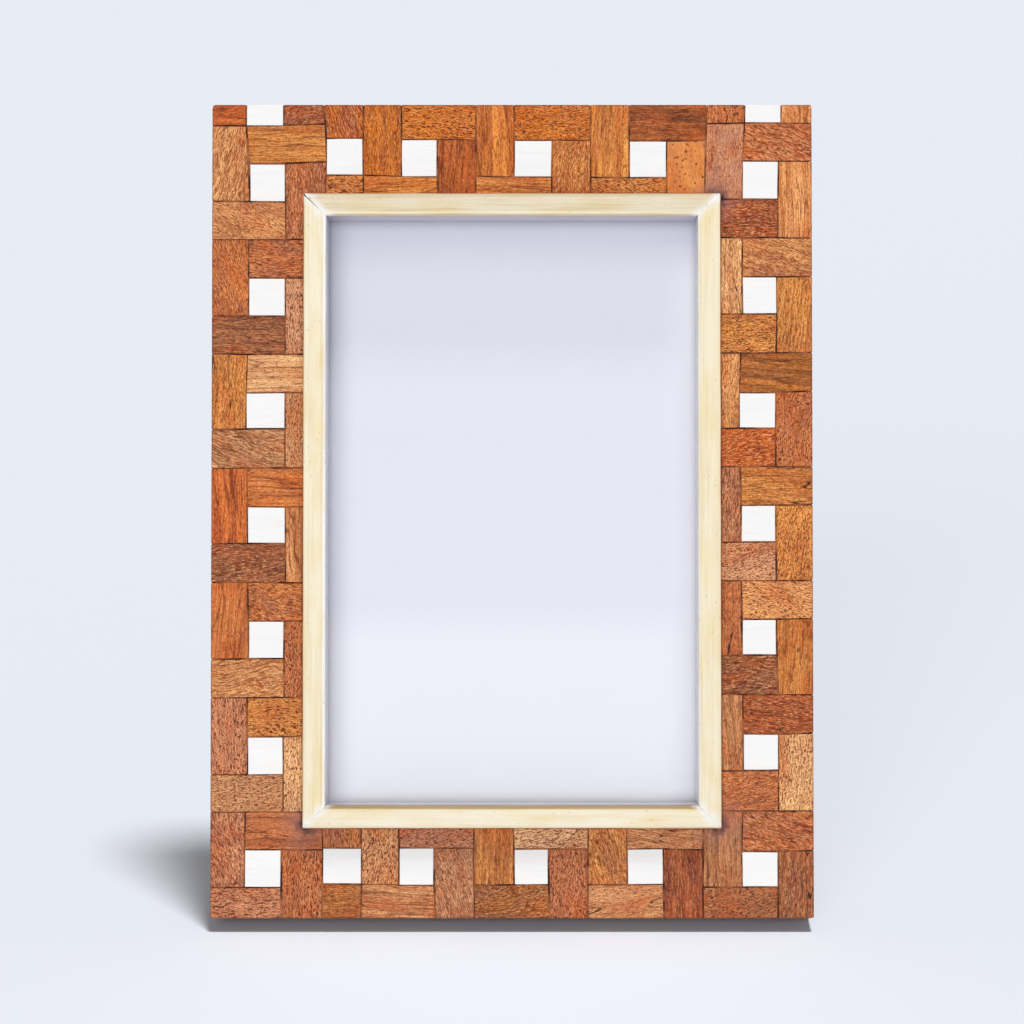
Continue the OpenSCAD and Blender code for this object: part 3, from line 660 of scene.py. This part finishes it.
def trimSection():
    # (distance out from the sight edge, depth), round the sheet's outside and back along its inside
    fold, sheet, flatSteps, legSteps = trim["fold"], trim["sheet"], trim["faceSteps"], trim["legSteps"]
    inner, outer = (fold, trimFront + fold), (trimWidth - fold, trimFront + fold)
    flat = [(inner[0] + (outer[0] - inner[0]) * i / flatSteps, trimFront) for i in range(1, flatSteps)]
    leg = [(0, glassPlane + (trimFront + fold - glassPlane) * i / legSteps) for i in range(legSteps)]
    outside = leg + foldArc(inner, fold, 180, 270) + flat + foldArc(outer, fold, 270, 360)
    outside.append((trimWidth, tileDepth))
    inside = [(trimWidth - sheet, tileDepth)] + foldArc(outer, fold - sheet, 360, 270)
    inside += foldArc(inner, fold - sheet, 270, 180) + [(sheet, glassPlane)]
    return outside, inside


def panelPlace(side, out, along, depth):
    # A point beside the window: out from the sight edge, along that side from its middle
    if side in uprights:
        return Vector(((sightX + out) * (-1 if side == "left" else 1), depth, midHeight + along))
    return Vector((along, depth, midHeight + (sightZ + out) * (1 if side == "top" else -1)))


def trimBar(side):
    outside, inside = trimSection()
    section = outside + inside
    alongScale, sideScale, outScale = trim["rippleScales"]
    halfSight = sightZ if side in uprights else sightX
    stations, count = trim["stations"], len(section)
    points, barPoints, endness = [], [], []
    for i in range(stations + 1):
        share = 2 * i / stations - 1
        for out, depth in section:
            halfLength = halfSight + out - trim["mitreGap"] / math.sqrt(2)
            if side == "left" and share > 0:
                halfLength -= trim["openMitre"] * max(0, out / trimWidth - trim["openFrom"])
            along = share * halfLength
            key = Vector((along * alongScale, sides.index(side) * sideScale, out * outScale))
            onFace = 0
            if depth < tileDepth * 1.2:
                onFace = 1 if depth < trimFront + trim["sheet"] * 1.5 else trim["legRipple"]
            sway = trim["ripple"] * onFace * (1 - abs(share) ** 8)  # the ends stay true for their mitres
            outward = out + sway * noise.noise(key * 0.7 + Vector((0, 40, 0)))
            dents = trim["dents"].get(side, ())
            dent = sum(deep * math.exp(-(((along - at) / long) ** 2)) for at, long, deep in dents)
            inward = depth + sway * (noise.noise(key) + 0.4) + dent * onFace
            points.append(panelPlace(side, outward, along, inward))
            barPoints.append(Vector((along, depth, out)) * inMm)
            endness.append(max(0.0, 1 - (halfLength - abs(along)) / trim["solderRun"]))
    faces = [(i * count + j, i * count + k, (i + 1) * count + k, (i + 1) * count + j)
             for i in range(stations) for j, k in zip(range(count), [*range(1, count), 0])]
    faces += [range(count), range(stations * count, (stations + 1) * count)]
    mesh = bpy.data.meshes.new(camel(f"brass_trim_{side}"))
    mesh.from_pydata(points, [], faces)
    store(mesh, "barPoint", barPoints)
    store(mesh, "endness", endness)
    shape = bmesh.new()
    shape.from_mesh(mesh)
    bmesh.ops.recalc_face_normals(shape, faces=shape.faces)
    shape.to_mesh(mesh)
    shape.free()
    mesh.transform(toWorld)
    smooth(mesh, 40)
    return newPiece(mesh.name, mesh, brassFinish(side))


def brassFinish(side):
    # Brushed pale brass with tarnish, solder near the mitres, painted highlights and shade along the folds,
    # and a painted reflection of the card's grey on the inner wall
    brass = Finish(f"paleBrass{side.title()}")
    point = brass.attribute("barPoint")
    start = (sides.index(side) * 31, 0, 0)
    _, depth, out = brass.apart(point)
    # Painted highlights and painted shade across the face, different on each side
    face = brass.stops(brass.ramp(out, 0, trimWidth * inMm), trimToneAndPaintedLight[side])
    brushed = brass.noise(point, (0.05, 2.0, 2.2), 3, 0.6, start)
    cloud = brass.noise(point, (0.07, 0.3, 0.25), 3, 0.55, start)
    colour = brass.mix(brass.ramp(cloud, 0.45, 0.72, 0.0, 0.6), face, paint(250, 236, 200), "MULTIPLY")
    # Brushed streaks, darker on the top length as painted shade
    streaksAndTopShade = brass.ramp(brushed, 0.45, 0.72, 0.0, 0.7 if side == "top" else 0.35)
    streakedAndTopShaded = brass.mix(streaksAndTopShade, colour, brass.dimmed(colour, 236, 222, 190))
    spots = brass.ramp(brass.noise(point, (0.8, 1.1, 1.2), 2, 0.5, start), 0.66, 0.73, 0.0, 0.4)
    spotted = brass.mix(spots, streakedAndTopShaded, paint(186, 162, 112))
    silver = brass.ramp(brass.noise(point, (0.3, 0.4, 0.4), 2, shift=start), 0.3, 0.7, -0.25, 0.25)
    edge = brass.math("ADD", brass.attribute("endness", "Fac"), silver)
    soldered = brass.mix(brass.ramp(edge, 0.3, 1.0, 0.0, 0.8), spotted, paint(253, 249, 238))
    # Painted reflection of the card's grey on the inner wall
    inside = brass.times(brass.ramp(depth, -1.6, -0.6), brass.ramp(out, 0.1, 0.6, 1.0, 0.0))
    wallReflected = brass.mix(inside, soldered, paint(232, 228, 238))
    rough = brass.ramp(brushed, 0.3, 0.7, 0.34, 0.48)
    bumps = brass.bump(brass.math("ADD", brushed, cloud), 0.00003, 0.5)
    return brass.finish(wallReflected, rough, bumps, metallic=1.0)


for side in sides:
    place(trimBar(side), "brass_sheet", f"brass_trim_{side}")
print("trim folded")


# Solder left in the mitres

solder = {
    "radius": 0.34 * mm, "variation": 0.7, "flatness": 0.14, "sink": 0.03 * mm, "seed": 4.0,
    "reach": 0.12 * mm,  # how far down the folds the beads run
    "corners": {  # right, up: width of the bead there, and how far it lies off the mitre
        (-1, -1): (0.8, 0.0), (-1, 1): (0.85, 0.28 * mm), (1, -1): (0.4, -0.1 * mm),
        (1, 1): (0.9, 0.1 * mm)},
}


def solderTree():
    # A bead of uneven width along each mitre, pressed flat on to the metal
    tree = Tree("runSolder", "Radius", "Variation", "Flatness", "Seed")
    given = tree.given
    curve = tree.out("GeometryNodeMeshToCurve", {"Mesh": given["Geometry"]})
    uneven = tree.out("ShaderNodeTexNoise", {
        "W": given["Seed"], "Scale": 700.0, "Detail": 2.0}, noise_dimensions="4D")
    varied = tree.times(tree.math("SUBTRACT", uneven, 0.5), given["Variation"])
    wide = tree.times(given["Radius"], tree.named("beadWidth", "FLOAT"))
    radius = tree.times(tree.math("MULTIPLY_ADD", varied, 2.0, 1.0), wide)
    ring = tree.out("GeometryNodeCurvePrimitiveCircle", {"Resolution": 10, "Radius": 1.0})
    bead = tree.out("GeometryNodeCurveToMesh", {
        "Curve": curve, "Profile Curve": ring, "Scale": radius, "Fill Caps": True})
    away = tree.vector("SUBTRACT", tree.position(), tree.named("beadLine"))
    less = tree.math("SUBTRACT", given["Flatness"], 1.0)
    pressed = tree.scaled(tree.vector("MULTIPLY", away, (0, 1, 0)), less)
    flat = tree.out("GeometryNodeSetPosition", {"Geometry": bead, "Offset": pressed})
    return tree.finish(tree.out("GeometryNodeSetShadeSmooth", {"Geometry": flat}))


def solderFinish():
    metal = Finish("solder")
    lumps = metal.noise(metal.panelPoint(), 0.9, 3)
    colour = metal.mix(metal.ramp(lumps, 0.45, 0.66), paint(255, 252, 240), paint(216, 210, 200))
    return metal.finish(colour, 0.36, metal.bump(lumps, 0.00004, 0.5), metallic=1.0)


def mitreSolder():
    outside, _ = trimSection()
    route = [(out, depth) for out, depth in outside if depth < trimFront + solder["reach"]]
    points, edges, widths = [], [], []
    for (right, up), (width, off) in solder["corners"].items():
        edges += [(len(points) + i, len(points) + i + 1) for i in range(len(route) - 1)]
        points += [
            Vector((right * (sightX + out - off), depth + solder["sink"], midHeight + up * (sightZ + out)))
            for out, depth in route]
        widths += [width] * len(route)
    mesh = bpy.data.meshes.new("mitreSolder")
    mesh.from_pydata(points, edges, [])
    store(mesh, "beadLine", points)
    store(mesh, "beadWidth", widths)
    piece = newPiece("mitreSolder", mesh)
    runTree(piece, solderTree(), {
        "Radius": solder["radius"], "Variation": solder["variation"], "Flatness": solder["flatness"],
        "Seed": solder["seed"], "Material": solderFinish()})
    piece.data.transform(toWorld)
    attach(piece, nodeBody["brass_trim_top"])


mitreSolder()
print("mitres soldered")


# Finishes for the CAD nodes and their softened copies

def longGrainFinish(name, upright, ground, grain):
    # Wood in a long piece, its grain along the piece
    wood = Finish(name)
    point = wood.panelPoint()

    def along(length, thickness):
        return (thickness, thickness, length) if upright else (length, thickness, thickness)

    stripes = wood.ramp(wood.noise(point, along(0.018, 0.35), 4, 0.6), 0.36, 0.66)
    colour = wood.mix(stripes, paint(*ground), paint(*grain))
    fibre = wood.noise(point, along(0.12, 2.4), 3, 0.65)
    dark = wood.dimmed(colour, 178, 158, 146)
    fibred = wood.mix(wood.ramp(fibre, 0.42, 0.68, 0.0, 0.8), colour, dark)
    stain = wood.ramp(wood.noise(point, 0.05, 2), 0.4, 0.8, 0.0, 0.35)
    rough = wood.ramp(fibre, 0.3, 0.7, 0.52, 0.68)
    return wood.finish(wood.mix(stain, fibred, dark), rough, wood.bump(fibre, 0.00005, 0.5), 0.3)


def fillerFinish():
    filler = Finish("darkFiller")
    point = filler.panelPoint()
    patches = filler.noise(point, 0.16, 3, 0.6)
    colour = filler.mix(filler.ramp(patches, 0.42, 0.6), paint(58, 32, 24), paint(168, 104, 66))
    grit = filler.noise(point, 3, 2)
    gritty = filler.mix(filler.ramp(grit, 0.5, 0.8, 0.0, 0.6), colour, paint(40, 22, 18))
    return filler.finish(gritty, 0.7, filler.bump(grit, 0.00004, 0.6), 0.25)


bed = {"cell": 1.5 * mm, "unevenness": 0.08 * mm, "inset": 0.15 * mm}


def fillerBed(material):
    # The dark filler under and between the tiles, with its surface a little uneven
    outX, outZ = halfWidth - bed["inset"], midHeight - bed["inset"]
    inX, inZ = trimX - bed["inset"], trimZ - bed["inset"]

    def lines(outer, inner):
        beside = max(1, round((outer - inner) / bed["cell"]))
        between = max(1, round(2 * inner / bed["cell"]))
        rising = [-outer + (outer - inner) * i / beside for i in range(beside)]
        rising += [-inner + 2 * inner * i / between for i in range(between)]
        return rising + [inner + (outer - inner) * i / beside for i in range(beside + 1)]

    xs, zs = lines(outX, inX), lines(outZ, inZ)
    shape = bmesh.new()
    grid = [[shape.verts.new((x, fillerFront, midHeight + z)) for x in xs] for z in zs]
    for i in range(len(zs) - 1):
        for j in range(len(xs) - 1):
            if abs(xs[j] + xs[j + 1]) / 2 > inX or abs(zs[i] + zs[i + 1]) / 2 > inZ:
                shape.faces.new((grid[i][j], grid[i][j + 1], grid[i + 1][j + 1], grid[i + 1][j]))
    bmesh.ops.delete(shape, geom=[v for v in shape.verts if not v.link_faces], context="VERTS")
    rim = {v for e in shape.edges if e.is_boundary for v in e.verts}
    back = bmesh.ops.extrude_face_region(shape, geom=list(shape.faces))
    raised = {v for v in back["geom"] if isinstance(v, bmesh.types.BMVert)}
    for vert in shape.verts:
        if vert in raised:
            vert.co.y = tileDepth
        elif vert not in rim:
            vert.co.y += bed["unevenness"] * (noise.noise(vert.co * 300) + 0.3)
    bmesh.ops.recalc_face_normals(shape, faces=shape.faces)
    mesh = bpy.data.meshes.new("fillerBed")
    shape.to_mesh(mesh)
    shape.free()
    mesh.transform(toWorld)
    smooth(mesh, 35)
    place(newPiece("fillerBed", mesh, material), "dark_filler", *(f"tile_filler_{side}" for side in sides))


def velveteenFinish():
    cloth = Finish("blackVelveteen")
    point = cloth.panelPoint()
    nap = cloth.noise(point, 5, 2, 0.6)
    brushedAreas = cloth.noise(point, (0.05, 0.05, 0.03), 3, 0.55)
    colour = cloth.mix(cloth.ramp(brushedAreas, 0.4, 0.65), paint(30, 30, 33), paint(44, 44, 49))
    specked = cloth.mix(cloth.ramp(nap, 0.55, 0.8, 0.0, 0.7), colour, paint(64, 64, 70))
    lint = cloth.ramp(cloth.noise(point, (1.1, 1.1, 2.6), 1, 0.5, (2, 6, 9)), 0.765, 0.785, 0.0, 0.3)
    linty = cloth.mix(lint, specked, paint(150, 150, 154))
    return cloth.finish(linty, 0.95, cloth.bump(nap, 0.00012, 0.8), 0.15, sheen=0.35)


def metalFinish(name, light, dark, roughness):
    metal = Finish(name)
    point = metal.panelPoint()
    cloud = metal.noise(point, 0.4, 4, 0.6)
    colour = metal.mix(metal.ramp(cloud, 0.35, 0.7), paint(*light), paint(*dark))
    scratches = metal.noise(point, (0.4, 3.0, 6.0), 2, 0.6)
    deeper = paint(*(part * 0.8 for part in dark))
    scratched = metal.mix(metal.ramp(scratches, 0.55, 0.75, 0.0, 0.35), colour, deeper)
    rubbed = metal.ramp(scratches, 0.3, 0.7, roughness - 0.07, roughness + 0.1)
    return metal.finish(scratched, rubbed, metal.bump(scratches, 0.00002, 0.4), metallic=1.0)


def cardFinish():
    # White card with painted shade and painted light: greyer towards the left and upper edges, lighter over
    # its upper part and towards the right edge, and whiter low down
    card = Finish("whiteCard")
    point = card.panelPoint()
    x, _, z = card.apart(point)
    middle = midHeight * inMm
    pulp = card.noise(point, 0.5, 4, 0.7)
    colour = card.mix(card.ramp(pulp, 0.35, 0.7, 0.0, 0.5), paint(228, 225, 235), paint(225, 222, 233))
    # Painted light: lighter over the upper part, where the trim's shadow falls, a painted reflection that is
    # lighter low down, and lighter towards the right edge
    upper = card.mix(card.ramp(z, middle + 19, middle + 40), colour, paint(238, 235, 244))
    lower = card.mix(card.ramp(z, middle - 24, middle - 34), upper, paint(237, 234, 240))
    right = card.mix(card.ramp(x, 37.5, 46, 0.0, 0.9), lower, paint(250, 247, 252))
    # Painted shade: greyer along the left edge
    leftPaintedShade = card.ramp(card.math("ADD", x, sightX * inMm), -1, 14, 0.28, 0.0)
    left = card.mix(card.times(leftPaintedShade, leftPaintedShade), right, paint(150, 146, 164))
    # Painted shade: greyer along the upper edge
    topPaintedShade = card.ramp(z, middle + 55, middle + 69)
    shaded = card.mix(card.times(topPaintedShade, topPaintedShade), left, paint(213, 210, 222))
    return card.finish(shaded, 0.75, card.bump(pulp, 0.00001, 0.3), 0.2)


def boardFinish():
    board = Finish("greyBoard")
    point = board.panelPoint()
    pulp = board.noise(point, 0.7, 4, 0.75)
    colour = board.mix(board.ramp(pulp, 0.35, 0.7), paint(172, 162, 148), paint(148, 138, 124))
    specks = board.ramp(board.noise(point, 1.8, 1, shift=(8, 2, 5)), 0.68, 0.74, 0.0, 0.6)
    specked = board.mix(specks, colour, paint(96, 88, 78))
    return board.finish(specked, 0.9, board.bump(pulp, 0.00003, 0.4), 0.15)


def glassFinish():
    # Clear to shadows and to light from other surfaces, so that the card is lit
    glass = Finish("windowGlass")
    path = glass.add("ShaderNodeLightPath").outputs
    pane = glass.out("ShaderNodeBsdfPrincipled", {
        "Base Color": paint(252, 254, 254), "Roughness": 0.0, "IOR": 1.5, "Transmission Weight": 1.0})
    clear = glass.out("ShaderNodeBsdfTransparent", {"Color": paint(252, 253, 253)})
    passing = glass.math("MAXIMUM", path["Is Shadow Ray"], path["Is Diffuse Ray"])
    mixed = glass.out("ShaderNodeMixShader", {0: passing, 1: pane, 2: clear})
    glass.add("ShaderNodeOutputMaterial", {"Surface": mixed})
    return glass.material


def windowGlass(clearance):
    # The pane, just clear of the card behind it
    mesh = frame["nodes"]["glass_pane"].data.copy()
    mesh.transform(toPanel)
    front, back = min(v.co.y for v in mesh.vertices), max(v.co.y for v in mesh.vertices)
    for vert in mesh.vertices:
        vert.co.y += clearance if vert.co.y < (front + back) / 2 else -clearance
    mesh.transform(toWorld)
    place(newPiece("windowGlass", mesh, glassFinish()), "clear_glass", "glass_pane")


def repaint(material, node):
    frame["nodes"][node].material_slots[0].material = material


def softened(node, material, slot, width, segments=2):
    # A merged copy of a CAD node with its edges rounded
    shape = weldedShape(node)
    bmesh.ops.dissolve_limit(shape, angle_limit=math.radians(0.5), verts=shape.verts, edges=shape.edges)
    mesh = frame["nodes"][node].data.copy()
    mesh.name = camel(node)
    shape.to_mesh(mesh)
    shape.free()
    piece = newPiece(mesh.name, mesh, material)
    bevel = piece.modifiers.new("softEdges", "BEVEL")
    bevel.width = width
    bevel.segments = segments
    bevel.limit_method = "ANGLE"
    bevel.angle_limit = math.radians(50)
    mesh.shade_smooth()
    weighted = piece.modifiers.new("flatFaces", "WEIGHTED_NORMAL")
    weighted.weight = 100
    place(baked(piece), slot, node)


longWoods = {  # ground colour, grain colour
    "edging": ((112, 62, 38), (78, 42, 27)),
    "core": ((206, 168, 122), (182, 140, 96)),
    "fillet": ((214, 182, 136), (190, 154, 108)),
}
uprightWoods, levelWoods = ({wood: longGrainFinish(wood + run, run == "Upright", *tones)
                             for wood, tones in longWoods.items()} for run in ("Upright", "Level"))
softEdges = {kind: size * mm for kind, size in {
    "rivet": 0.1, "fine": 0.12, "button": 0.22, "panel": 0.35, "leg": 0.45}.items()}
fillerBed(fillerFinish())
for side in sides:
    woods = uprightWoods if side in uprights else levelWoods
    softened(f"wood_edging_{side}", woods["edging"], "edging_wood", softEdges["fine"])
    repaint(woods["core"], f"core_rail_{side}")
    repaint(woods["fillet"], f"trim_fillet_{side}")
print("wood pieces finished")

velveteen = velveteenFinish()
softened("back_panel", velveteen, "black_velveteen", softEdges["panel"], 3)
softened("easel_leg", velveteen, "black_velveteen", softEdges["leg"], 3)
repaint(cardFinish(), "print_card")
repaint(boardFinish(), "backing_board")
windowGlass(0.04 * mm)
print("filling finished")

plated = metalFinish("platedSteel", (236, 214, 160), (204, 176, 118), 0.34)
bare = metalFinish("bareSteel", (206, 206, 208), (170, 169, 170), 0.38)
rivetBrass = metalFinish("rivetBrass", (232, 196, 124), (200, 158, 90), 0.3)
for corner in ("upper_left", "upper_right", "lower_left", "lower_right"):
    softened(f"turn_button_{corner}", plated, "plated_steel", softEdges["button"], 3)
for node in ("hinge_fixed_leaf", "hinge_leg_leaf", "turn_button_screws"):
    softened(node, plated, "plated_steel", softEdges["fine"])
softened("hinge_pin", bare, "bare_steel", softEdges["fine"])
for node in ("hinge_panel_rivets", "hinge_leg_rivets"):
    softened(node, rivetBrass, "brass_rivet", softEdges["rivet"])
repaint(bare, "corner_nails")
print("metalwork finished")


# Studio: a pale floor, a small key lamp overhead, a broad fill in front, the camera square to the face

studio = {
    "backdrop": (229, 232, 241), "floorSize": 80.0, "floorColour": (230, 234, 243),
    "ambient": 0.15, "ambientColour": (0.985, 0.99, 1.0, 1.0),
    "reflected": 1.28,  # how much brighter the backdrop is in metal than to the camera
    "cameraDistance": 0.65, "cameraElevation": 12.5, "viewWidth": 0.2554, "drop": 0.0005,
}
lamps = {  # azimuth to the right of the front, elevation and softness in degrees
    "keyLamp": {"azimuth": 72, "elevation": 82.5, "softness": 10, "strength": 2.36},
    "fillLamp": {"azimuth": -12, "elevation": 12, "softness": 38, "strength": 1.78},
}


def backdropWorld():
    # The camera, metal and glass see the backdrop; other surfaces are lit by the ambient light
    world = bpy.data.worlds.new("studioWorld")
    bpy.context.scene.world = world
    world.use_nodes = True
    room = Nodes(world.node_tree)
    path = room.add("ShaderNodeLightPath").outputs
    glossy = path["Is Glossy Ray"]
    through = room.math("MAXIMUM", glossy, path["Is Transmission Ray"])
    seen = room.math("MAXIMUM", path["Is Camera Ray"], through)
    brighter = room.math("MULTIPLY_ADD", glossy, studio["reflected"] - 1, 1.0)
    shown = room.out("ShaderNodeBackground", {"Color": paint(*studio["backdrop"]), "Strength": brighter})
    light = room.out("ShaderNodeBackground", {
        "Color": studio["ambientColour"], "Strength": studio["ambient"]})
    mixed = room.out("ShaderNodeMixShader", {0: seen, 1: light, 2: shown})
    room.add("ShaderNodeOutputWorld", {"Surface": mixed})


def floorPiece():
    half = studio["floorSize"] / 2
    mesh = bpy.data.meshes.new("studioFloor")
    corners = [(-half, -half, 0), (half, -half, 0), (half, half, 0), (-half, half, 0)]
    mesh.from_pydata(corners, [], [range(4)])
    paper = Finish("floorPaper").finish(paint(*studio["floorColour"]), 0.9, specular=0.0)
    return newPiece("studioFloor", mesh, paper)


def aimed(name, data, azimuth, elevation):
    # A lamp or camera that looks from there, in degrees, and the way towards it
    azimuth, elevation = math.radians(azimuth), math.radians(elevation)
    level = math.cos(elevation)
    towards = Vector((level * math.sin(azimuth), -level * math.cos(azimuth), math.sin(elevation)))
    piece = newPiece(name, data)
    piece.rotation_euler = towards.to_track_quat("Z", "Y").to_euler()
    return piece, towards


backdropWorld()
floorPiece()

for name, lamp in lamps.items():
    light = bpy.data.lights.new(name, "SUN")
    light.energy = lamp["strength"]
    light.angle = math.radians(lamp["softness"])
    lampPiece, _ = aimed(name, light, lamp["azimuth"], lamp["elevation"])
    lampPiece.visible_glossy = lampPiece.visible_transmission = False  # metal and glass show the room alone

cameraData = bpy.data.cameras.new("photoCamera")
cameraData.lens = cameraData.sensor_width * studio["cameraDistance"] / studio["viewWidth"]
cameraData.clip_end = 200
camera, towardsCamera = aimed("photoCamera", cameraData, 0, studio["cameraElevation"])
target = toWorld @ Vector((0, 0, midHeight - studio["drop"]))
camera.location = target + towardsCamera * studio["cameraDistance"]
bpy.context.scene.camera = camera
bpy.context.scene.view_settings.view_transform = "Standard"
print("studio set")
